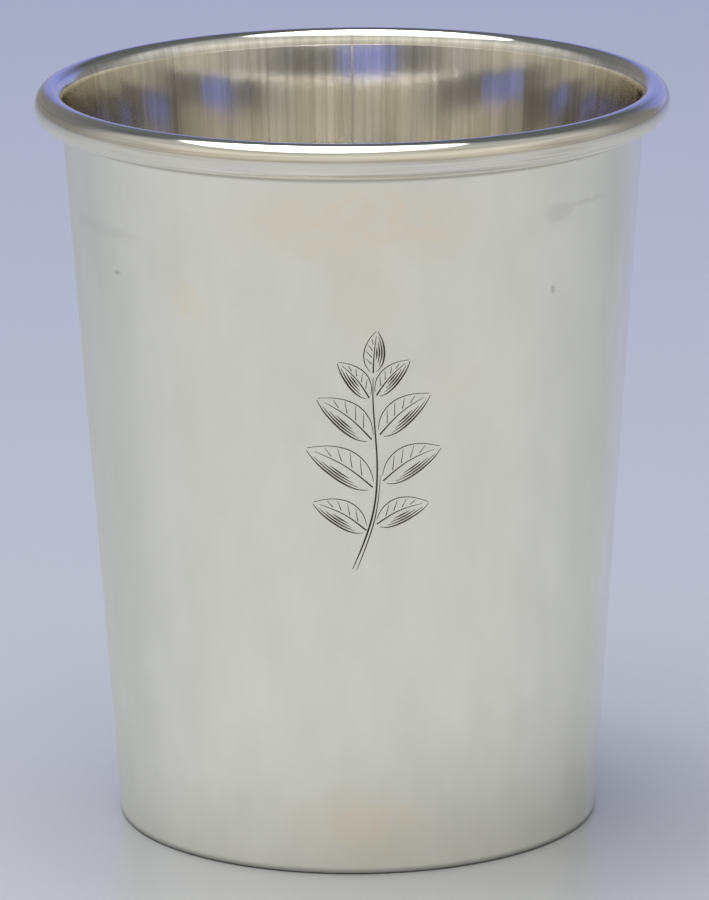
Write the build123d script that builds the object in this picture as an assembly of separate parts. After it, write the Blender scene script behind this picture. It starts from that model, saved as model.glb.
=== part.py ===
from build123d import *
import math
import os

# Julep cup of sheet silver: a tapered wall closed by a soldered seam, an oval wire
# soldered round the lip, and a flat disc let into the foot. Millimetres, +Z up.
# The origin is the middle of the foot, on the surface that the cup stands on.
# The front of the cup faces -Y, and both soldered joints are at the back.

# Driving dimensions
HEIGHT = 95.25  # foot to the top of the rim
FOOT_DIAMETER = 61.6  # outside of the wall's cone where it stands
MOUTH_DIAMETER = 74.4  # outside of the wall's cone, carried up to the top of the rim
WALL = 0.55  # gauge of the wall's sheet
FOOT_ROUND = 0.2  # softened corners of the edge that the cup stands on
WIRE_WIDTH = 3.85  # oval wire of the rim, before its inner side is filed to the wall
WIRE_HEIGHT = 4.4  # the same wire, upright
RIM_SOLDER = 0.5  # width of the solder's run under the wire, on the wall and on the wire
BASE_THICKNESS = 0.7  # gauge of the disc
BASE_RECESS = 1.5  # underside of the disc above the standing edge
BASE_SOLDER = 0.7  # width of the solder's run under the disc, on the wall and on the disc
SIDE_SEAM = 0.25  # solder between the two edges of the rolled wall, at the foot
WIRE_JOINT = 0.2  # solder between the two ends of the bent wire, at the wall

# Every piece is turned from the back of the cup, where the joints are. The wall's straight
# outer line starts at the corner of the foot and leans out by the taper.
BACK = 90
FOOT_RADIUS = FOOT_DIAMETER / 2
TAPER = math.atan((MOUTH_DIAMETER - FOOT_DIAMETER) / 2 / HEIGHT)


def wall_point(along, out):
    """Radius and height of a point so far up the wall's outer line and so far out from it."""
    radius = FOOT_RADIUS + along * math.sin(TAPER) + out * math.cos(TAPER)
    height = along * math.cos(TAPER) - out * math.sin(TAPER)
    return radius, height


def along_at(height, out):
    """How far up the wall a point lies that is at this height and so far out."""
    return (height + out * math.sin(TAPER)) / math.cos(TAPER)


def inner_radius(height):
    """Radius of the wall's inner face at a height."""
    return wall_point(along_at(height, -WALL), -WALL)[0]


# The oval of the wire stands upright, and its top is the top of the cup. A flat as deep as
# the wall is thick is filed on its inner side, so that the lip, filed to the same oval,
# makes it whole again. Under the flat is a narrow bevel for the solder. Angles turn from
# straight out of the cup to straight up.
WIRE_MIDDLE = HEIGHT - WIRE_HEIGHT / 2
REACH_OUT = WIRE_WIDTH / 2 * math.cos(TAPER)
REACH_UP = WIRE_HEIGHT / 2 * math.sin(TAPER)
REACH = math.hypot(REACH_OUT, REACH_UP)
WIRE_RADIUS = wall_point(along_at(WIRE_MIDDLE, REACH - WALL), REACH - WALL)[0]
LIP_END = 180 - math.degrees(math.atan2(REACH_UP, REACH_OUT))
SEAT_SPREAD = math.degrees(math.acos(1 - WALL / REACH))
SEAT_TOP = LIP_END - SEAT_SPREAD
SEAT_FOOT = LIP_END + SEAT_SPREAD
BEVEL_END = SEAT_FOOT + math.degrees(RIM_SOLDER / (WIRE_HEIGHT / 2))


def wire_point(angle):
    """Point on the wire's oval, at the angle that its ellipse gives it."""
    turn = math.radians(angle)
    radius = WIRE_RADIUS + WIRE_WIDTH / 2 * math.cos(turn)
    return radius, WIRE_MIDDLE + WIRE_HEIGHT / 2 * math.sin(turn)


def wire_arc(start, end):
    """Stretch of the wire's oval between two angles."""
    return EllipticalCenterArc(
        (WIRE_RADIUS, WIRE_MIDDLE),
        WIRE_WIDTH / 2,
        WIRE_HEIGHT / 2,
        start,
        arc_size=end - start,
    )


def turned(section, start=BACK, arc=360):
    """Solid swept about the cup's axis by a section of radius and height, from an angle off +X."""
    return Rot(0, 0, start) * revolve(Plane.XZ * section, Axis.Z, revolution_arc=arc)


def rolled(section, joint, radius):
    """Piece rolled up until its ends nearly meet at the back, and the solder between the ends."""
    joint_arc = math.degrees(joint / radius)
    piece = turned(section, BACK + joint_arc / 2, 360 - joint_arc)
    solder = turned(section, BACK - joint_arc / 2, joint_arc)
    return piece, solder


def wall_section():
    """Strip of sheet with a flat standing edge, its lip filed to the oval of the wire."""
    outline = [
        Line((FOOT_RADIUS, 0), wire_point(SEAT_TOP)),
        wire_arc(SEAT_TOP, LIP_END),
        Line(wire_point(LIP_END), (inner_radius(0), 0)),
        Line((inner_radius(0), 0), (FOOT_RADIUS, 0)),
    ]
    strip = make_face(outline)
    return fillet(strip.vertices().group_by(Axis.Y)[0], FOOT_ROUND)


def wire_section():
    """Oval wire with its inner side filed flat to the wall, and bevelled for the solder."""
    outline = [
        wire_arc(BEVEL_END - 360, 0),
        wire_arc(0, SEAT_TOP),
        Line(wire_point(SEAT_TOP), wire_point(SEAT_FOOT)),
        Line(wire_point(SEAT_FOOT), wire_point(BEVEL_END)),
    ]
    return make_face(outline)


def solder_under_wire():
    """Three-sided run of solder in the corner between the wire's bevel and the wall."""
    seat_foot = wire_point(SEAT_FOOT)
    outline = Polyline(
        seat_foot,
        wire_point(BEVEL_END),
        wall_point(along_at(seat_foot[1], 0) - RIM_SOLDER, 0),
        close=True,
    )
    return turned(make_face(outline))


def bottom_disc():
    """Disc of sheet whose edge is filed to the taper of the wall's inner face."""
    top = BASE_RECESS + BASE_THICKNESS
    outline = Polyline(
        (0, BASE_RECESS),
        (inner_radius(BASE_RECESS), BASE_RECESS),
        (inner_radius(top), top),
        (0, top),
        close=True,
    )
    return turned(make_face(outline))


def solder_under_disc():
    """Three-sided run of solder in the corner between the disc's underside and the wall."""
    corner = inner_radius(BASE_RECESS)
    outline = Polyline(
        (corner, BASE_RECESS),
        (corner - BASE_SOLDER, BASE_RECESS),
        wall_point(along_at(BASE_RECESS, -WALL) - BASE_SOLDER, -WALL),
        close=True,
    )
    return turned(make_face(outline))


cup_wall, side_seam_solder = rolled(wall_section(), SIDE_SEAM, FOOT_RADIUS)
rim_wire, wire_joint_solder = rolled(wire_section(), WIRE_JOINT, MOUTH_DIAMETER / 2)

pieces = {
    "cup_wall": cup_wall,
    "side_seam_solder": side_seam_solder,
    "rim_wire": rim_wire,
    "wire_joint_solder": wire_joint_solder,
    "rim_solder": solder_under_wire(),
    "base_disc": bottom_disc(),
    "base_solder": solder_under_disc(),
}

os.makedirs("parts", exist_ok=True)
for name, piece in pieces.items():
    export_step(piece, f"parts/{name}.step")
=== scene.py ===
import math

import bpy
from mathutils import Matrix, Vector


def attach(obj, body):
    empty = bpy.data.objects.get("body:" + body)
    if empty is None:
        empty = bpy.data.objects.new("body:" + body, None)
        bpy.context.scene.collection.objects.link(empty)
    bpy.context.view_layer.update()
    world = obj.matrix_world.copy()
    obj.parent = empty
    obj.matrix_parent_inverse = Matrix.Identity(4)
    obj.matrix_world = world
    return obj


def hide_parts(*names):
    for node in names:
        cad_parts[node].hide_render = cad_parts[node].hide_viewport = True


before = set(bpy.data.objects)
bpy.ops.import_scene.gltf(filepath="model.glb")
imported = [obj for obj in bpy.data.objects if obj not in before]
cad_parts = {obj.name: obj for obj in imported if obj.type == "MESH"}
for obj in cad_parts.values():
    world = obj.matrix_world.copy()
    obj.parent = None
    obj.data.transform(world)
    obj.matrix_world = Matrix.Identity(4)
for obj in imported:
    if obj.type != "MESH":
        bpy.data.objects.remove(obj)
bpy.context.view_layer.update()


# Wall of the cup: one fan of sterling silver sheet, rolled into a cone until its edges
# nearly meet at the back. Its foot is filed flat to stand on, and its lip is turned out a
# little by the burnisher and filed to the oval of the wire that goes on outside it.
MM = 0.001
HEIGHT = 95.25 * MM
FOOT_RADIUS = 30.8 * MM
MOUTH_RADIUS = 37.2 * MM
WALL = 0.55 * MM
FOOT_ROUND = 0.2 * MM
SIDE_SEAM = 0.25 * MM
WIRE_WIDTH = 3.85 * MM
WIRE_HEIGHT = 4.4 * MM
TAPER = math.atan((MOUTH_RADIUS - FOOT_RADIUS) / HEIGHT)
UP_WALL = Vector((math.sin(TAPER), 0, math.cos(TAPER)))
OUT_OF_WALL = Vector((math.cos(TAPER), 0, -math.sin(TAPER)))
BACK = math.pi / 2
ROUND_STEPS = 360
FLARE_FOOT = 84 * MM
FLARE_RISE = 9 * MM
FLARE_ANGLE = math.radians(1.5)
SAME_PLACE = 1e-8  # metres, under which two vertices are one


def on_wall(along, out):
    """Point of the section that is so far up the wall's outer line and so far out from it."""
    return Vector((FOOT_RADIUS, 0, 0)) + along * UP_WALL + out * OUT_OF_WALL


def inner_radius(height):
    """Radius of the wall's inner face at a height."""
    return FOOT_RADIUS - WALL / math.cos(TAPER) + height * math.tan(TAPER)


def flare(height):
    """How far the inner face has turned out of its straight line at a height, and its angle."""
    part = min(max((height - FLARE_FOOT) / FLARE_RISE, 0), 1)
    beyond = max(height - FLARE_FOOT - FLARE_RISE, 0)
    moved = (FLARE_RISE * (part ** 3 - part ** 4 / 2) + beyond) * math.tan(FLARE_ANGLE)
    return moved, FLARE_ANGLE * (3 * part ** 2 - 2 * part ** 3)


# The oval of the wire stands upright, and its top is the top of the cup. A flat as deep as the
# wall is thick is filed on its inner side, so that the lip, filed to the same oval, makes it
# whole again. Angles turn from straight out of the cup to straight up.
REACH_OUT = WIRE_WIDTH / 2 * math.cos(TAPER)
REACH_UP = WIRE_HEIGHT / 2 * math.sin(TAPER)
REACH = math.hypot(REACH_OUT, REACH_UP)
WIRE_MIDDLE = HEIGHT - WIRE_HEIGHT / 2
WIRE_RADIUS = inner_radius(WIRE_MIDDLE) + REACH / math.cos(TAPER)
LIP_END = math.pi - math.atan2(REACH_UP, REACH_OUT)
SEAT_SPREAD = math.acos(1 - WALL / REACH)


def on_wire(angle):
    """Point of the section on the oval of the wire, at an angle."""
    out = WIRE_WIDTH / 2 * math.cos(angle)
    return Vector((WIRE_RADIUS + out, 0, WIRE_MIDDLE + WIRE_HEIGHT / 2 * math.sin(angle)))


# The burnisher and the buff round the lip and the wire's inner side over into one long curve,
# from where the flare ends up to the top of the cup.
LIP_REACH = 1.77 * MM
LIP_RISE = 2.0 * MM
LIP_STEPS = 12


def on_lip(angle):
    """Point of the section on the curve of the lip, at an angle turned from inside to up."""
    across = WIRE_RADIUS - LIP_REACH * math.cos(angle)
    return Vector((across, 0, HEIGHT - LIP_RISE + LIP_RISE * math.sin(angle)))


def inner_tilt(height):
    """Lean of the inner face at a height: the taper, then the flare, then the lip's curve."""
    part = min(max((height - HEIGHT + LIP_RISE) / LIP_RISE, 0), 0.999)
    lip_tilt = math.atan(math.tan(math.asin(part)) * LIP_REACH / LIP_RISE)
    return max(TAPER + flare(height)[1], lip_tilt)


def open_piece(name):
    """Name the primitive that was just added, and open it in edit mode."""
    piece = bpy.context.object
    piece.name = name
    piece.data.name = name
    bpy.ops.object.mode_set(mode="EDIT")
    bpy.ops.mesh.select_all(action="SELECT")
    return piece


def cut(point, direction, waste=True):
    """Cut the open mesh along a plane, and drop what lies ahead of it where that is waste."""
    bpy.ops.mesh.select_all(action="SELECT")
    bpy.ops.mesh.bisect(
        plane_co=point,
        plane_no=Vector(direction).normalized(),
        clear_outer=waste,
        threshold=SAME_PLACE,
    )


def pick(piece, test):
    """Select the vertices of the open mesh that are in the right place."""
    bpy.ops.mesh.select_mode(type="VERT")
    bpy.ops.mesh.select_all(action="DESELECT")
    bpy.ops.object.mode_set(mode="OBJECT")
    for vertex in piece.data.vertices:
        vertex.select = test(vertex.co)
    bpy.ops.object.mode_set(mode="EDIT")


def round_lip():
    """Cut the open section to the curve of the lip, from where it leaves the flared face."""
    start = math.atan(math.tan(TAPER + FLARE_ANGLE) * LIP_RISE / LIP_REACH)
    stops = [start + (math.pi / 2 - start) * step / LIP_STEPS for step in range(LIP_STEPS + 1)]
    for lower, upper in zip(stops, stops[1:]):
        chord = on_lip(lower) - on_lip(upper)
        cut(on_lip(upper), (chord.z, 0, -chord.x))


def roll_up(start, sweep, steps):
    """Spin the open section about the cup's axis, from an angle counted from the right side."""
    bpy.ops.mesh.select_all(action="SELECT")
    bpy.ops.transform.rotate(value=-start, orient_axis="Z", center_override=(0, 0, 0))
    bpy.ops.mesh.spin(steps=steps, angle=-sweep, center=(0, 0, 0), axis=(0, 0, 1))
    bpy.ops.mesh.select_all(action="SELECT")
    bpy.ops.mesh.remove_doubles(threshold=SAME_PLACE)
    bpy.ops.mesh.normals_make_consistent(inside=False)


# The strip is cut too long at both ends. It is split into rows, which lie closer in the flare.
STRIP_LENGTH = 110 * MM
STRIP_MIDDLE = 50 * MM
WALL_ROWS = 30
ROWS_END = 90 * MM
FLARE_ROWS = 9


def open_wall_section(name):
    """Strip of sheet seen end on, leaning by the taper, with its foot and lip filed to shape."""
    bpy.ops.object.select_all(action="DESELECT")
    bpy.ops.mesh.primitive_plane_add(size=1, rotation=(math.pi / 2, 0, 0))
    bpy.ops.object.transform_apply(location=True, rotation=True, scale=True)
    piece = open_piece(name)
    bpy.ops.transform.resize(value=(WALL, 1, STRIP_LENGTH))
    bpy.ops.transform.translate(value=(-WALL / 2, 0, STRIP_MIDDLE))
    bpy.ops.transform.rotate(value=-TAPER, orient_axis="Y", center_override=(0, 0, 0))
    bpy.ops.transform.translate(value=(FOOT_RADIUS, 0, 0))
    cut((0, 0, 0), (0, 0, -1))
    pick(piece, lambda place: place.z < 0.01 * MM)
    bpy.ops.mesh.bevel(offset=FOOT_ROUND, segments=4, affect="VERTICES")
    for row in range(1, WALL_ROWS):
        cut((0, 0, row / WALL_ROWS * ROWS_END), (0, 0, 1), waste=False)
    for row in range(FLARE_ROWS):
        cut((0, 0, FLARE_FOOT + (row + 0.5) / FLARE_ROWS * FLARE_RISE), (0, 0, 1), waste=False)
    bpy.ops.object.mode_set(mode="OBJECT")
    for vertex in piece.data.vertices:
        depth = (on_wall(0, 0) - vertex.co).dot(OUT_OF_WALL) / WALL
        vertex.co.x += depth * flare(vertex.co.z)[0]
    bpy.ops.object.mode_set(mode="EDIT")
    round_lip()
    return piece


seam_angle = SIDE_SEAM / FOOT_RADIUS
cup_wall = open_wall_section("cup_wall_rolled_sheet")
roll_up(BACK + seam_angle / 2, 2 * math.pi - seam_angle, ROUND_STEPS)
bpy.ops.object.mode_set(mode="OBJECT")


def colour(code):
    """Linear colour with full cover from an sRGB hex value."""
    parts = [int(code[k:k + 2], 16) / 255 for k in (1, 3, 5)]
    linear = [p / 12.92 if p <= 0.04045 else ((p + 0.055) / 1.055) ** 2.4 for p in parts]
    return (*linear, 1)


def add_node(tree, kind, inputs=(), **settings):
    """Node of a kind with its settings, and with its inputs set to values or linked to outputs."""
    made = tree.nodes.new(kind)
    for name, value in settings.items():
        setattr(made, name, value)
    for name, value in dict(inputs).items():
        if isinstance(value, bpy.types.NodeSocket):
            tree.links.new(value, made.inputs[name])
        else:
            made.inputs[name].default_value = value
    return made


def new_material(name):
    """Material with nodes, and the shader that its nodes lead to."""
    material = bpy.data.materials.new(name)
    material.use_nodes = True
    return material, material.node_tree, material.node_tree.nodes["Principled BSDF"]


# Outside of the sheet, polished and then dulled by years of rubbing: a white metal that
# gives back its surroundings softly, with hairline scratches, slow waves left by rolling
# and planishing, and a few faint pink-yellow stains of old tarnish
satin_sterling, tree, shader = new_material("sterling_silver_sheet_rubbed_soft")
MEAN_RADIUS = (FOOT_RADIUS + MOUTH_RADIUS) / 2


def unrolled_mm(tree):
    """Place on the unrolled sheet, in millimetres round it from the front and up it."""
    place = add_node(tree, "ShaderNodeTexCoord")
    axes = add_node(tree, "ShaderNodeSeparateXYZ", {0: place.outputs["Object"]})
    front = add_node(tree, "ShaderNodeMath", {0: axes.outputs["Y"], 1: -1.0}, operation="MULTIPLY")
    turn = add_node(
        tree,
        "ShaderNodeMath",
        {0: axes.outputs["X"], 1: front.outputs[0]},
        operation="ARCTAN2",
    )
    along = add_node(
        tree,
        "ShaderNodeMath",
        {0: turn.outputs[0], 1: MEAN_RADIUS / MM},
        operation="MULTIPLY",
    )
    up = add_node(tree, "ShaderNodeMath", {0: axes.outputs["Z"], 1: 1 / MM}, operation="MULTIPLY")
    flat = add_node(tree, "ShaderNodeCombineXYZ", {"X": along.outputs[0], "Y": up.outputs[0]})
    return flat.outputs[0]


sheet = unrolled_mm(tree)
# Stains with ragged edges: how far round from the front, how far up, half-sizes, strength
STAINS = (
    (0.0, 85.0, 17.0, 6.0, 0.9),
    (1.5, 76.0, 5.0, 8.0, 0.6),
    (-21.0, 73.5, 3.0, 3.2, 0.8),
    (0.5, 6.6, 11.0, 5.0, 0.9),
    (12.0, 64.0, 4.0, 3.0, 0.3),
    (-58.0, 62.0, 12.0, 6.0, 0.6),
    (66.0, 30.0, 8.0, 10.0, 0.5),
    (95.0, 78.0, 14.0, 5.0, 0.6),
)
ragged = add_node(
    tree,
    "ShaderNodeTexNoise",
    {"Vector": sheet, "Scale": 1 / 5, "Detail": 4.0, "Roughness": 0.6},
)


def marks(spots, noise, fray):
    """Cover by round marks on the sheet, their edges frayed by a noise over so many millimetres."""
    shifted = add_node(
        tree,
        "ShaderNodeVectorMath",
        {0: noise.outputs["Color"], 1: (fray, fray, 0.0), 2: sheet},
        operation="MULTIPLY_ADD",
    )
    cover = None
    for along, up, half_along, half_up, strength in spots:
        centred = add_node(
            tree,
            "ShaderNodeMapping",
            {
                "Vector": shifted.outputs[0],
                "Location": (-(along + fray / 2) / half_along, -(up + fray / 2) / half_up, 0),
                "Scale": (1 / half_along, 1 / half_up, 0),
            },
        )
        reach = add_node(tree, "ShaderNodeVectorMath", {0: centred.outputs[0]}, operation="LENGTH")
        mark = add_node(
            tree,
            "ShaderNodeMapRange",
            {
                "Value": reach.outputs["Value"],
                "From Min": 0.4,
                "From Max": 1.1,
                "To Min": strength,
                "To Max": 0.0,
            },
            interpolation_type="SMOOTHSTEP",
        ).outputs[0]
        if cover is None:
            cover = mark
        else:
            wider = add_node(tree, "ShaderNodeMath", {0: cover, 1: mark}, operation="MAXIMUM")
            cover = wider.outputs[0]
    return cover


# Blotches about 2 mm wide break up the stains, and clouds of about 6 by 14 mm dull the sheet
blotches = add_node(
    tree,
    "ShaderNodeTexNoise",
    {"Vector": sheet, "Scale": 1 / 2, "Detail": 4.0, "Roughness": 0.65},
)
patchy = add_node(
    tree,
    "ShaderNodeMapRange",
    {"Value": blotches.outputs[0], "From Min": 0.35, "From Max": 0.6, "To Min": 0.3, "To Max": 1.1},
)
stained = add_node(
    tree,
    "ShaderNodeMath",
    {0: marks(STAINS, ragged, 7.0), 1: patchy.outputs[0]},
    operation="MULTIPLY",
)
cloud_scaled = add_node(tree, "ShaderNodeMapping", {"Vector": sheet, "Scale": (1 / 6, 1 / 14, 1)})
clouds = add_node(
    tree,
    "ShaderNodeTexNoise",
    {"Vector": cloud_scaled.outputs[0], "Scale": 1.0, "Detail": 5.0, "Roughness": 0.6},
)
dulled = add_node(
    tree,
    "ShaderNodeMapRange",
    {"Value": clouds.outputs[0], "From Min": 0.35, "From Max": 0.65},
)
sterling = add_node(
    tree,
    "ShaderNodeMix",
    {0: dulled.outputs[0], 6: colour("#F0EFE6"), 7: colour("#F7F6EE")},
    data_type="RGBA",
)
clean = add_node(
    tree,
    "ShaderNodeMix",
    {0: stained.outputs[0], 6: sterling.outputs[2], 7: colour("#F8EEDD")},
    data_type="RGBA",
)
# Dark lines about a millimetre wide: old polish and tarnish with painted shade in the corner
# under the rim, and painted shade along the standing edge where the foot meets the table
heights = add_node(tree, "ShaderNodeSeparateXYZ", {0: sheet})
# Painted shade under the wire, together with old tarnish, darkening the wall from just below the rim
# upwards
rim_tarnish_and_shade = add_node(
    tree,
    "ShaderNodeMapRange",
    {"Value": heights.outputs["Y"], "From Min": 89.9, "From Max": 90.3},
    interpolation_type="SMOOTHSTEP",
)
with_rim_shade = add_node(
    tree,
    "ShaderNodeMix",
    {0: rim_tarnish_and_shade.outputs[0], 6: clean.outputs[2], 7: colour("#C4C2B8")},
    data_type="RGBA",
)
# Painted shade along the standing edge, where the foot meets the table, darkest at the bottom
painted_foot_shade = add_node(
    tree,
    "ShaderNodeMapRange",
    {"Value": heights.outputs["Y"], "From Min": 0.9, "From Max": 0.1},
    interpolation_type="SMOOTHSTEP",
)
metal = add_node(
    tree,
    "ShaderNodeMix",
    {0: painted_foot_shade.outputs[0], 6: with_rim_shade.outputs[2], 7: colour("#ABAAA5")},
    data_type="RGBA",
)
# Small grey scuffs and pits from use, with the same five numbers as the stains
SCUFFS = (
    (-32.8, 75.6, 0.9, 0.4, 0.7),
    (26.5, 84.0, 3.0, 1.6, 0.3),
    (31.5, 84.5, 5.5, 0.4, 0.25),
    (25.8, 74.0, 0.6, 0.6, 0.6),
    (-36.0, 80.6, 10.0, 0.9, 0.15),
)
frayed = add_node(tree, "ShaderNodeTexNoise", {"Vector": sheet, "Scale": 1 / 1.2, "Detail": 3.0})
scuffed = marks(SCUFFS, frayed, 1.4)
worn = add_node(
    tree,
    "ShaderNodeMix",
    {0: scuffed, 6: metal.outputs[2], 7: colour("#C6C6C2")},
    data_type="RGBA",
)
# Hairlines about 0.14 mm wide and 6 mm long, drawn wider than real ones so that they show
hair_turned = add_node(
    tree,
    "ShaderNodeMapping",
    {"Vector": sheet, "Rotation": (0, 0, 0.5), "Scale": (1 / 0.14, 1 / 6, 1)},
)
hair = add_node(
    tree,
    "ShaderNodeTexNoise",
    {"Vector": hair_turned.outputs[0], "Scale": 1.0, "Detail": 2.0},
)
rough = add_node(
    tree,
    "ShaderNodeMapRange",
    {"Value": ragged.outputs[0], "From Min": 0.3, "From Max": 0.7, "To Min": 0.19, "To Max": 0.25},
)
waves = add_node(tree, "ShaderNodeTexNoise", {"Vector": sheet, "Scale": 1 / 22, "Detail": 1.0})
wave_bump = add_node(
    tree,
    "ShaderNodeBump",
    {"Height": waves.outputs[0], "Strength": 1.0, "Distance": 0.02 * MM},
)
hair_bump = add_node(
    tree,
    "ShaderNodeBump",
    {
        "Height": hair.outputs[0],
        "Strength": 1.0,
        "Distance": 0.001 * MM,
        "Normal": wave_bump.outputs[0],
    },
)
tree.links.new(worn.outputs[2], shader.inputs["Base Color"])
tree.links.new(rough.outputs[0], shader.inputs["Roughness"])
tree.links.new(hair_bump.outputs[0], shader.inputs["Normal"])
shader.inputs["Metallic"].default_value = 1.0
cup_wall.data.materials.append(satin_sterling)

# Inside of the same sheet, burnished up and down with a long tool: a bright mirror, drawn
# out into upright streaks by the tool's shallow tracks
burnished_sterling, tree, shader = new_material("sterling_silver_sheet_burnished_upright")
sheet = unrolled_mm(tree)
# Tracks about 0.9 mm wide and 60 mm long, and wider ones of about 5 mm
narrow_scaled = add_node(tree, "ShaderNodeMapping", {"Vector": sheet, "Scale": (1 / 0.9, 1 / 60, 1)})
narrow = add_node(
    tree,
    "ShaderNodeTexNoise",
    {"Vector": narrow_scaled.outputs[0], "Scale": 1.0, "Detail": 2.0},
)
wide_scaled = add_node(tree, "ShaderNodeMapping", {"Vector": sheet, "Scale": (1 / 5, 1 / 90, 1)})
wide = add_node(
    tree,
    "ShaderNodeTexNoise",
    {"Vector": wide_scaled.outputs[0], "Scale": 1.0, "Detail": 1.0},
)
streaks = add_node(
    tree,
    "ShaderNodeMapRange",
    {"Value": narrow.outputs[0], "From Min": 0.35, "From Max": 0.65},
)
metal = add_node(
    tree,
    "ShaderNodeMix",
    {0: streaks.outputs[0], 6: colour("#E1DED6"), 7: colour("#F4F2EE")},
    data_type="RGBA",
)
wide_bump = add_node(tree, "ShaderNodeBump", {"Height": wide.outputs[0], "Distance": 0.08 * MM})
narrow_bump = add_node(
    tree,
    "ShaderNodeBump",
    {"Height": narrow.outputs[0], "Distance": 0.012 * MM, "Normal": wide_bump.outputs[0]},
)
tree.links.new(metal.outputs[2], shader.inputs["Base Color"])
tree.links.new(narrow_bump.outputs[0], shader.inputs["Normal"])
shader.inputs["Metallic"].default_value = 1.0
shader.inputs["Roughness"].default_value = 0.08


# Engraved sprig on the front of the wall: cut by hand with a graver as V-shaped lines that
# swell and thin out, with rows of side by side cuts for the shaded half of each leaf.
SPRIG_TURN = math.radians(3.7)
SPRIG_ALONG = 55.7 * MM / math.cos(TAPER)


def place_on_wall(place):
    """Move a point of the flat drawing, in millimetres, onto the front of the wall."""
    along = SPRIG_ALONG + place.y * MM
    radius = FOOT_RADIUS + along * math.sin(TAPER)
    spot = on_wall(along, place.z * MM)
    angle = -math.pi / 2 + SPRIG_TURN + place.x * MM / radius
    return Matrix.Rotation(angle, 3, "Z") @ spot


drawing = bpy.data.curves.new("graver_cuts", "CURVE")
drawing.dimensions = "3D"
drawing.twist_mode = "Z_UP"
drawing.bevel_depth = 1.0
drawing.bevel_resolution = 0
drawing.use_fill_caps = True
drawing.resolution_u = 5


def graver_cut(points, halves):
    """One cut through points of the drawing, as wide and deep as its halves say, in millimetres."""
    line = drawing.splines.new("NURBS")
    line.points.add(len(points) - 1)
    for point, (x, y), half in zip(line.points, points, halves):
        point.co = (x, y, 0, 1)
        point.radius = half
    line.order_u = 3
    line.use_endpoint_u = True


def leaf(foot, tip, width, curl, shaded):
    """Leaf from its foot to its tip: two edges, a midrib, side veins, and shading on one side."""
    foot = Vector(foot)
    run = Vector(tip) - foot
    across = Vector((-run.y, run.x)).normalized()

    def at(t, side):
        return foot + run * t + across * (side + curl * math.sin(math.pi * t))

    def half(t):
        return width / 2 * (t / 0.42) ** 0.62 * ((1 - t) / 0.58) ** 0.85

    stops = (0.03, 0.1, 0.22, 0.38, 0.55, 0.72, 0.87, 0.985)
    heavy = (0.04, 0.06, 0.09, 0.12, 0.12, 0.1, 0.07, 0.04)
    light = (0.04, 0.05, 0.06, 0.07, 0.07, 0.06, 0.05, 0.04)
    graver_cut([at(t, shaded * half(t)) for t in stops], heavy)
    graver_cut([at(t, -shaded * half(t)) for t in stops], light)
    graver_cut([at(t, 0) for t in (0.0, 0.2, 0.45, 0.7, 0.88)], (0.1, 0.09, 0.07, 0.06, 0.03))
    for row, (start, end) in enumerate(((0.16, 0.86), (0.24, 0.74), (0.32, 0.62)), 1):
        stretch = [start + (end - start) * k / 4 for k in range(5)]
        line = [at(t, shaded * max(half(t) - 0.32 * row, 0.25)) for t in stretch]
        graver_cut(line, (0.03, 0.08, 0.11, 0.08, 0.03))
    for start in (0.2, 0.36, 0.52, 0.67):
        end = start + 0.13
        line = [at(start, -shaded * 0.25), at(start + 0.06, -shaded * 0.42 * half(end))]
        line.append(at(end, -shaded * (half(end) - 0.3)))
        graver_cut(line, (0.06, 0.05, 0.03))


stem = (
    (-2.6, -15.2),
    (-1.0, -11.5),
    (0.25, -7.0),
    (0.55, -2.0),
    (0.2, 3.0),
    (-0.1, 7.0),
    (0.0, 9.6),
)
stem_shade = ((-2.1, -15.35), (-0.62, -11.6), (0.6, -7.2), (0.88, -3.0))
graver_cut(stem, (0.05, 0.13, 0.12, 0.11, 0.1, 0.09, 0.04))
graver_cut(stem_shade, (0.04, 0.09, 0.07, 0.03))
# Leaves in pairs up the stem and one at its tip: foot, tip, width, curl and shaded side
leaf((-0.9, -10.2), (-7.6, -6.6), 3.5, -0.6, 1)
leaf((0.4, -9.4), (7.0, -6.9), 3.3, 0.6, -1)
leaf((-0.1, -4.6), (-8.4, 0.4), 4.2, -0.7, 1)
leaf((1.2, -3.8), (8.6, 0.2), 4.0, 0.7, -1)
leaf((-0.2, 1.6), (-7.0, 6.9), 3.8, -0.6, 1)
leaf((0.8, 2.2), (7.2, 7.2), 3.6, 0.6, -1)
leaf((-0.5, 7.0), (-4.4, 11.6), 2.7, -0.4, 1)
leaf((0.4, 7.3), (4.6, 11.7), 2.6, 0.4, -1)
leaf((0.0, 10.2), (0.5, 15.6), 2.6, 0.1, -1)

bpy.ops.object.select_all(action="DESELECT")
graver = bpy.data.objects.new("graver_cuts", drawing)
bpy.context.collection.objects.link(graver)
graver.select_set(True)
bpy.context.view_layer.objects.active = graver
bpy.ops.object.convert(target="MESH")
open_piece("graver_cuts")
bpy.ops.mesh.remove_doubles(threshold=1e-4)
bpy.ops.mesh.normals_make_consistent(inside=False)
bpy.ops.object.mode_set(mode="OBJECT")
for vertex in graver.data.vertices:
    vertex.co = place_on_wall(vertex.co)

# Silver in the bottom of the cuts, where polish never reaches: dark grey-brown tarnish
cut_silver, tree, shader = new_material("sterling_silver_cut_and_darkened")
place = add_node(tree, "ShaderNodeTexCoord")
grime = add_node(
    tree,
    "ShaderNodeTexNoise",
    {"Vector": place.outputs["Object"], "Scale": 1 / (1.5 * MM)},
)
metal = add_node(
    tree,
    "ShaderNodeMix",
    {0: grime.outputs[0], 6: colour("#6E6A60"), 7: colour("#8A867B")},
    data_type="RGBA",
)
tree.links.new(metal.outputs[2], shader.inputs["Base Color"])
shader.inputs["Metallic"].default_value = 1.0
shader.inputs["Roughness"].default_value = 0.45
graver.data.materials.append(cut_silver)

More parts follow.
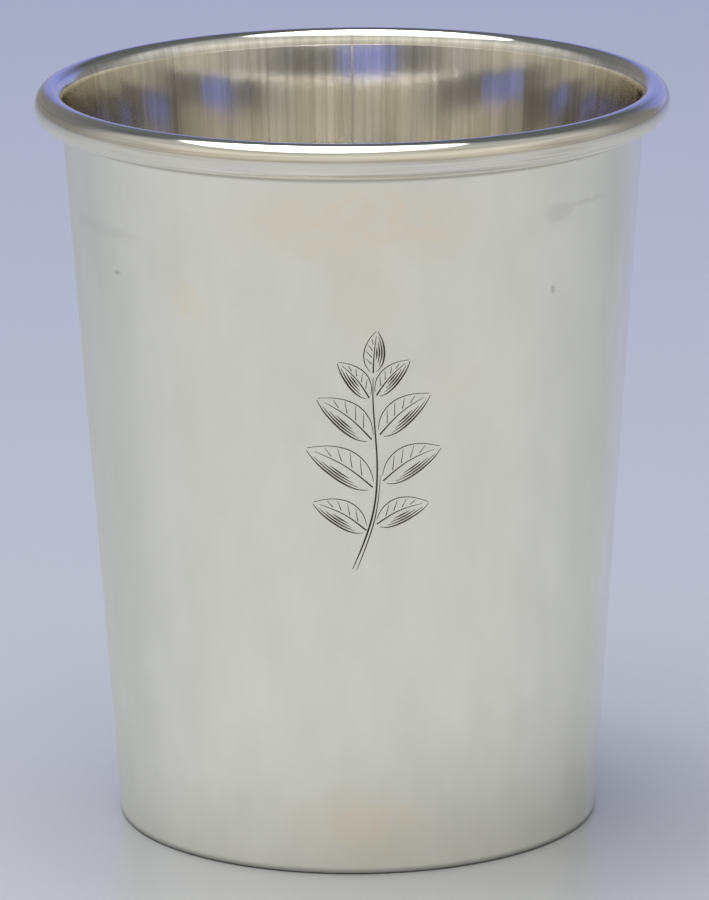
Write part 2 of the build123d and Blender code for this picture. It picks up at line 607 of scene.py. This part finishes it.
bpy.ops.object.select_all(action="DESELECT")
cup_wall.select_set(True)
bpy.context.view_layer.objects.active = cup_wall
engraving = cup_wall.modifiers.new("engraving", "BOOLEAN")
engraving.object = graver
engraving.operation = "DIFFERENCE"
engraving.solver = "EXACT"
engraving.material_mode = "TRANSFER"
bpy.ops.object.modifier_apply(modifier="engraving")
bpy.data.objects.remove(graver)
CORNER_ANGLE = math.radians(30)
bpy.ops.object.shade_smooth_by_angle(angle=CORNER_ANGLE)

# The cuts leave faces of every shape in the sheet, so its true normals are set on them, and
# the faces that look into the cup take the finish of its inside
cup_wall.data.materials.append(burnished_sterling)
FACES_IN = -0.5
LIES_IN_SHEET = 0.9993
normals = [Vector((0, 0, 0))] * len(cup_wall.data.loops)
for face in cup_wall.data.polygons:
    radial = Vector((face.center.x, face.center.y, 0)).normalized()
    facing = radial * math.cos(TAPER) - Vector((0, 0, math.sin(TAPER)))
    lean = face.normal.dot(facing)
    plain = face.material_index == 0
    inside = plain and lean < FACES_IN
    if inside:
        face.material_index = 2
    if plain and abs(lean) > LIES_IN_SHEET or inside and face.center.z > FLARE_FOOT:
        for corner in face.loop_indices:
            spot = cup_wall.data.vertices[cup_wall.data.loops[corner].vertex_index].co
            tilt = TAPER if lean > 0 else inner_tilt(spot.z)
            radial = Vector((spot.x, spot.y, 0)).normalized()
            true = radial * math.cos(tilt) - Vector((0, 0, math.sin(tilt)))
            normals[corner] = math.copysign(1, lean) * true
cup_wall.data.normals_split_custom_set(normals)
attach(cup_wall, "root")
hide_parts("cup_wall")


# Solder of the side seam: silver solder run into the butt joint down the back of the wall
# and filed flush, so that it shows only as a fine line of a slightly yellower white.
side_seam = open_wall_section("side_seam_solder_line")
roll_up(BACK - seam_angle / 2, seam_angle, 2)


def finish_piece(piece, material, node):
    """Close a piece, shade it smooth but for its corners, and let it stand for its CAD node."""
    bpy.ops.object.mode_set(mode="OBJECT")
    bpy.ops.object.select_all(action="DESELECT")
    piece.select_set(True)
    bpy.context.view_layer.objects.active = piece
    bpy.ops.object.shade_smooth_by_angle(angle=CORNER_ANGLE)
    piece.data.materials.append(material)
    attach(piece, "root")
    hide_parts(node)


# Hard silver solder, filed and polished with the sheet: a little yellower and darker than
# sterling, with pits and draw lines from the torch that hold tarnish
solder, tree, shader = new_material("silver_solder_filed_flush")
place = add_node(tree, "ShaderNodeTexCoord")
pits = add_node(
    tree,
    "ShaderNodeTexNoise",
    {"Vector": place.outputs["Object"], "Scale": 1 / (0.9 * MM), "Detail": 3.0},
)
metal = add_node(
    tree,
    "ShaderNodeMix",
    {0: pits.outputs[0], 6: colour("#CFC9BA"), 7: colour("#E3DED2")},
    data_type="RGBA",
)
rough = add_node(tree, "ShaderNodeMapRange", {"Value": pits.outputs[0], "To Min": 0.12, "To Max": 0.25})
pit_bump = add_node(tree, "ShaderNodeBump", {"Height": pits.outputs[0], "Distance": 0.01 * MM})
tree.links.new(metal.outputs[2], shader.inputs["Base Color"])
tree.links.new(rough.outputs[0], shader.inputs["Roughness"])
tree.links.new(pit_bump.outputs[0], shader.inputs["Normal"])
shader.inputs["Metallic"].default_value = 1.0
finish_piece(side_seam, solder, "side_seam_solder")


# Base: a flat disc of the same sheet, its edge filed to the taper of the wall, let into
# the foot from below and soldered there, a little above the edge that the cup stands on.
BASE_RECESS = 1.5 * MM
BASE_THICKNESS = 0.7 * MM
base_top = BASE_RECESS + BASE_THICKNESS

bpy.ops.object.select_all(action="DESELECT")
bpy.ops.mesh.primitive_circle_add(
    vertices=ROUND_STEPS // 2,
    radius=inner_radius(BASE_RECESS),
    fill_type="NGON",
    location=(0, 0, BASE_RECESS),
)
bpy.ops.object.transform_apply(location=True, rotation=True, scale=True)
base_disc = open_piece("base_disc_flat_sheet")
bpy.ops.mesh.extrude_region_move(TRANSFORM_OT_translate={"value": (0, 0, BASE_THICKNESS)})
spread = inner_radius(base_top) / inner_radius(BASE_RECESS)
bpy.ops.transform.resize(value=(spread, spread, 1), center_override=(0, 0, base_top))
bpy.ops.mesh.select_all(action="SELECT")
bpy.ops.mesh.normals_make_consistent(inside=False)

# The same sterling sheet, turned on a buff: rings of fine polishing lines about the middle
turned_sterling, tree, shader = new_material("sterling_silver_sheet_buffed_round")
place = add_node(tree, "ShaderNodeTexCoord")
axes = add_node(tree, "ShaderNodeSeparateXYZ", {0: place.outputs["Object"]})
flat = add_node(tree, "ShaderNodeCombineXYZ", {"X": axes.outputs["X"], "Y": axes.outputs["Y"]})
reach = add_node(tree, "ShaderNodeVectorMath", {0: flat.outputs[0]}, operation="LENGTH")
ring = add_node(tree, "ShaderNodeCombineXYZ", {"X": reach.outputs["Value"]})
lines = add_node(
    tree,
    "ShaderNodeTexNoise",
    {"Vector": ring.outputs[0], "Scale": 1 / (0.3 * MM), "Detail": 3.0},
)
clouds = add_node(
    tree,
    "ShaderNodeTexNoise",
    {"Vector": place.outputs["Object"], "Scale": 1 / (14 * MM), "Detail": 4.0},
)
metal = add_node(
    tree,
    "ShaderNodeMix",
    {0: clouds.outputs[0], 6: colour("#F6F2E6"), 7: colour("#EFE6D3")},
    data_type="RGBA",
)
rough = add_node(
    tree,
    "ShaderNodeMapRange",
    {"Value": lines.outputs[0], "From Min": 0.3, "From Max": 0.7, "To Min": 0.16, "To Max": 0.26},
)
line_bump = add_node(tree, "ShaderNodeBump", {"Height": lines.outputs[0], "Distance": 0.003 * MM})
tree.links.new(metal.outputs[2], shader.inputs["Base Color"])
tree.links.new(rough.outputs[0], shader.inputs["Roughness"])
tree.links.new(line_bump.outputs[0], shader.inputs["Normal"])
shader.inputs["Metallic"].default_value = 1.0
finish_piece(base_disc, turned_sterling, "base_disc")


# Solder of the base: a run of silver solder in the corner under the disc, hollow as it
# froze, all round between the disc and the wall.
BASE_SOLDER = 0.7 * MM


def open_solder_run(name, ends):
    """Run of solder with three sides, from the ends of its section, turned all round the cup."""
    bpy.ops.object.select_all(action="DESELECT")
    bpy.ops.mesh.primitive_circle_add(
        vertices=3,
        radius=1,
        fill_type="NGON",
        rotation=(math.pi / 2, 0, 0),
    )
    bpy.ops.object.transform_apply(location=True, rotation=True, scale=True)
    piece = open_piece(name)
    bpy.ops.object.mode_set(mode="OBJECT")
    for vertex, end in zip(piece.data.vertices, ends):
        vertex.co = end
    bpy.ops.object.mode_set(mode="EDIT")
    bpy.ops.mesh.select_all(action="SELECT")
    bpy.ops.mesh.delete(type="ONLY_FACE")
    roll_up(0, 2 * math.pi, ROUND_STEPS)
    return piece


corner = Vector((inner_radius(BASE_RECESS), 0, BASE_RECESS))
base_run = open_solder_run(
    "base_solder_run",
    (corner, corner - Vector((BASE_SOLDER, 0, 0)), corner - BASE_SOLDER * UP_WALL),
)
finish_piece(base_run, solder, "base_solder")


# Rim: a heavy oval sterling wire bent into a ring, its inner side filed flat to lie
# against the wall, with a narrow bevel under it for the solder, and polished bright.
RIM_SOLDER = 0.5 * MM
WIRE_JOINT = 0.2 * MM
SEAT_FOOT = LIP_END + SEAT_SPREAD
BEVEL_END = SEAT_FOOT + RIM_SOLDER / (WIRE_HEIGHT / 2)
WIRE_STEPS = 72


def open_wire_section(name):
    """Oval wire seen end on, with the flat on its inner side and the bevel under it filed."""
    bpy.ops.object.select_all(action="DESELECT")
    bpy.ops.mesh.primitive_circle_add(
        vertices=WIRE_STEPS,
        radius=WIRE_HEIGHT / 2,
        fill_type="NGON",
        rotation=(math.pi / 2, 0, 0),
    )
    bpy.ops.object.transform_apply(location=True, rotation=True, scale=True)
    piece = open_piece(name)
    bpy.ops.transform.resize(value=(WIRE_WIDTH / WIRE_HEIGHT, 1, 1))
    bpy.ops.transform.translate(value=(WIRE_RADIUS, 0, WIRE_MIDDLE))
    cut(on_wall(0, 0), -OUT_OF_WALL)
    bevel = on_wire(BEVEL_END) - on_wire(SEAT_FOOT)
    cut(on_wire(SEAT_FOOT), (bevel.z, 0, -bevel.x))
    round_lip()
    return piece


wire_angle = WIRE_JOINT / MOUTH_RADIUS
rim_wire = open_wire_section("rim_wire_bent_ring")
roll_up(BACK + wire_angle / 2, 2 * math.pi - wire_angle, ROUND_STEPS)

# Sterling wire, drawn round and polished: a bright mirror with fine wear lines along it
# and slow unevenness from bending, which makes the edges of its highlights waver
bright_sterling, tree, shader = new_material("sterling_silver_wire_polished")
place = add_node(tree, "ShaderNodeTexCoord")
clouds = add_node(
    tree,
    "ShaderNodeTexNoise",
    {"Vector": place.outputs["Object"], "Scale": 1 / (9 * MM), "Detail": 3.0},
)
drawn = add_node(
    tree,
    "ShaderNodeMix",
    {0: clouds.outputs[0], 6: colour("#EEEBE4"), 7: colour("#E8E4D9")},
    data_type="RGBA",
)
# Wear lines about 0.3 mm wide and 15 mm long, drawn wider than real ones so that they show
line_scaled = add_node(
    tree,
    "ShaderNodeMapping",
    {"Vector": unrolled_mm(tree), "Scale": (1 / 15, 1 / 0.3, 1)},
)
lines = add_node(
    tree,
    "ShaderNodeTexNoise",
    {"Vector": line_scaled.outputs[0], "Scale": 1.0, "Detail": 3.0},
)
wear = add_node(
    tree,
    "ShaderNodeMapRange",
    {"Value": lines.outputs[0], "From Min": 0.5, "From Max": 0.68, "To Max": 0.6},
)
metal = add_node(
    tree,
    "ShaderNodeMix",
    {0: wear.outputs[0], 6: drawn.outputs[2], 7: colour("#C2BDB2")},
    data_type="RGBA",
)
rough = add_node(
    tree,
    "ShaderNodeMapRange",
    {"Value": clouds.outputs[0], "From Min": 0.3, "From Max": 0.7, "To Min": 0.06, "To Max": 0.12},
)
wave_bump = add_node(tree, "ShaderNodeBump", {"Height": clouds.outputs[0], "Distance": 0.006 * MM})
tree.links.new(metal.outputs[2], shader.inputs["Base Color"])
tree.links.new(rough.outputs[0], shader.inputs["Roughness"])
tree.links.new(wave_bump.outputs[0], shader.inputs["Normal"])
shader.inputs["Metallic"].default_value = 1.0
finish_piece(rim_wire, bright_sterling, "rim_wire")


# Solder of the wire's joint: silver solder between the two ends of the ring, at the back,
# filed to the round of the wire.
wire_joint = open_wire_section("wire_joint_solder_line")
roll_up(BACK - wire_angle / 2, wire_angle, 2)
finish_piece(wire_joint, solder, "wire_joint_solder")


# Solder of the rim: a run of silver solder all round, in the corner between the wire's
# bevel and the wall.
rim_run = open_solder_run(
    "rim_solder_run",
    (on_wire(SEAT_FOOT), on_wire(BEVEL_END), on_wire(SEAT_FOOT) - RIM_SOLDER * UP_WALL),
)
finish_piece(rim_run, solder, "rim_solder")


# Table: a wide pale painted board with a soft sheen, which mirrors the blue backdrop faintly.
# It lies a hair below the cup's foot, so that the two flat faces don't share one place.
TABLE_RADIUS = 5.0
TABLE_GAP = 0.1 * MM
bpy.ops.object.select_all(action="DESELECT")
bpy.ops.mesh.primitive_circle_add(
    vertices=96,
    radius=TABLE_RADIUS,
    fill_type="NGON",
    location=(0, 0, -TABLE_GAP),
)
bpy.ops.object.transform_apply(location=True, rotation=True, scale=True)
table = bpy.context.object
table.name = "table_board"

# Pale grey paint, rolled on smooth: a plain colour with a dull mirror, with a painted falloff
# of light that makes it a little darker and bluer towards the back
board, tree, shader = new_material("painted_board_soft_sheen")
place = add_node(tree, "ShaderNodeTexCoord")
axes = add_node(tree, "ShaderNodeSeparateXYZ", {0: place.outputs["Object"]})
# Painted falloff of light: the board darkens and turns bluer from front to back
depth = add_node(
    tree,
    "ShaderNodeMapRange",
    {"Value": axes.outputs["Y"], "From Min": -0.3, "From Max": 0.7},
)
paint_and_falloff = add_node(tree, "ShaderNodeValToRGB", {0: depth.outputs[0]})
paint_and_falloff.color_ramp.elements[0].position = 0.2
paint_and_falloff.color_ramp.elements[0].color = colour("#C4C6CA")
paint_and_falloff.color_ramp.elements[1].position = 0.9
paint_and_falloff.color_ramp.elements[1].color = colour("#A8ACBC")
tree.links.new(paint_and_falloff.outputs[0], shader.inputs["Base Color"])
shader.inputs["Roughness"].default_value = 0.25
table.data.materials.append(board)


# Studio: a large round softbox overhead, a smaller and brighter one a little behind the cup,
# cream walls behind the camera, grey sides, and a blue backdrop low behind the cup.
def softbox(name, across, watts, place):
    """Round soft light that looks straight down."""
    light = bpy.data.lights.new(name, "AREA")
    light.shape = "DISK"
    light.size = across
    light.energy = watts
    lamp = bpy.data.objects.new(name, light)
    lamp.location = place
    bpy.context.collection.objects.link(lamp)


softbox("softbox_overhead", 2.15, 20, (-0.3, -0.16, 2.0))
softbox("softbox_back", 1.0, 14, (-0.2, 0.32, 1.97))

room = bpy.data.worlds.new("studio_room")
bpy.context.scene.world = room
room.use_nodes = True
tree = room.node_tree
place = add_node(tree, "ShaderNodeTexCoord")
axes = add_node(tree, "ShaderNodeSeparateXYZ", {0: place.outputs["Generated"]})
# Plain colours of each wall from the level of the table upwards, at the sine of their height
CREAM_WALL = ((0, "#B8B4A8"), (0.5, "#E8E6DA"), (0.75, "#C8C8C0"))
GREY_SIDES = ((0, "#A8A6A0"), (0.55, "#CCCCC8"), (0.9, "#A8ACAC"))
DARK_BACK = ((0, "#8C8A88"), (0.65, "#686C70"))
BLUE_BACKDROP = ((0, "#A4A8D4"), (0.25, "#9098E0"), (0.45, "#606468"))
WALLS = (CREAM_WALL, GREY_SIDES, DARK_BACK, BLUE_BACKDROP)
# Middle of each wall's corner with the next, and its start and end as cosines from there
BEHIND = (0, 1, 0)
BEHIND_RIGHT = (0.22, 0.975, 0)
CORNERS = ((BEHIND, -0.6, 0.0), (BEHIND, 0.1, 0.62), (BEHIND_RIGHT, 0.88, 0.97))
level = add_node(tree, "ShaderNodeCombineXYZ", {"X": axes.outputs["X"], "Y": axes.outputs["Y"]})
heading = add_node(tree, "ShaderNodeVectorMath", {0: level.outputs[0]}, operation="NORMALIZE")
all_round = None
for codes, corner in zip(WALLS, (None, *CORNERS)):
    wall = add_node(tree, "ShaderNodeValToRGB", {0: axes.outputs["Z"]})
    wall.color_ramp.elements[0].color = colour(codes[0][1])
    wall.color_ramp.elements[1].position = codes[-1][0]
    wall.color_ramp.elements[1].color = colour(codes[-1][1])
    for position, code in codes[1:-1]:
        wall.color_ramp.elements.new(position).color = colour(code)
    if all_round is None:
        all_round = wall.outputs[0]
    else:
        middle, start, end = corner
        nearness = add_node(
            tree,
            "ShaderNodeVectorMath",
            {0: heading.outputs[0], 1: middle},
            operation="DOT_PRODUCT",
        )
        reached = add_node(
            tree,
            "ShaderNodeMapRange",
            {"Value": nearness.outputs["Value"], "From Min": start, "From Max": end},
            interpolation_type="SMOOTHSTEP",
        )
        all_round = add_node(
            tree,
            "ShaderNodeMix",
            {0: reached.outputs[0], 6: all_round, 7: wall.outputs[0]},
            data_type="RGBA",
        ).outputs[2]
tree.links.new(all_round, tree.nodes["Background"].inputs["Color"])


# Camera: a long lens a little above the rim, looking down at the front of the cup. Its
# focal length and its shift are in pixels of a picture that is 900 pixels high.
PICTURE_HEIGHT = 900
FOCAL_PIXELS = 6574
SHIFT_PIXELS = -0.8
SENSOR = 36
CAMERA_PLACE = (0, -819.7 * MM, 255.3 * MM)
PITCH = 0.2486
ROLL = -0.0082
lens = bpy.data.cameras.new("camera")
lens.sensor_width = SENSOR
lens.lens = FOCAL_PIXELS / PICTURE_HEIGHT * SENSOR
lens.shift_x = SHIFT_PIXELS / PICTURE_HEIGHT
lens.clip_end = 50
camera = bpy.data.objects.new("camera", lens)
camera.location = CAMERA_PLACE
aim = Matrix.Rotation(math.pi / 2 - PITCH, 3, "X") @ Matrix.Rotation(ROLL, 3, "Z")
camera.rotation_euler = aim.to_euler()
bpy.context.collection.objects.link(camera)
bpy.context.scene.camera = camera

bpy.context.scene.view_settings.view_transform = "Standard"
# The two sides of the polished inside mirror each other many times over
bpy.context.scene.cycles.glossy_bounces = 16
bpy.context.scene.cycles.max_bounces = 20
